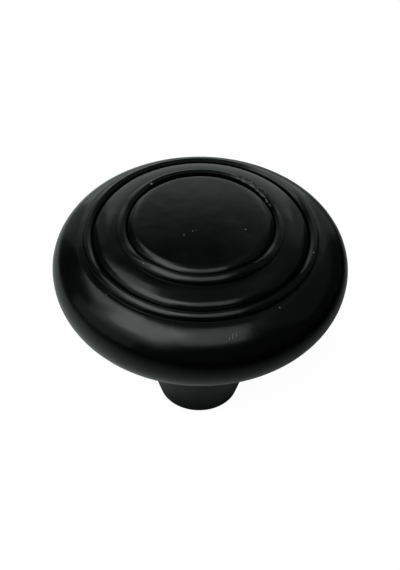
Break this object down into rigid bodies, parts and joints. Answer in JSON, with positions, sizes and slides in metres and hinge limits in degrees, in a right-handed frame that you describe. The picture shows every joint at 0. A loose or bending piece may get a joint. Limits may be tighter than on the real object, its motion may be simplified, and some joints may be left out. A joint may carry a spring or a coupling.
{
  "type": "cabinet knob",
  "caption": "Round mushroom knob for a cabinet or drawer: ringed domed head on a tapering stem, with a blind tapped hole in its foot.",
  "frame": {"origin": "middle of the foot, on the cabinet face that the knob is screwed to", "axes": "+Z out of the cabinet along the axis of the knob, towards the head; X and Y lie in the cabinet face"},
  "size_m": [0.038, 0.038, 0.03],
  "materials": {
    "black_coat": "satin black coat over cast metal"
  },
  "bodies": {
    "root": {"knob": "black_coat"}
  },
  "joints": []
}
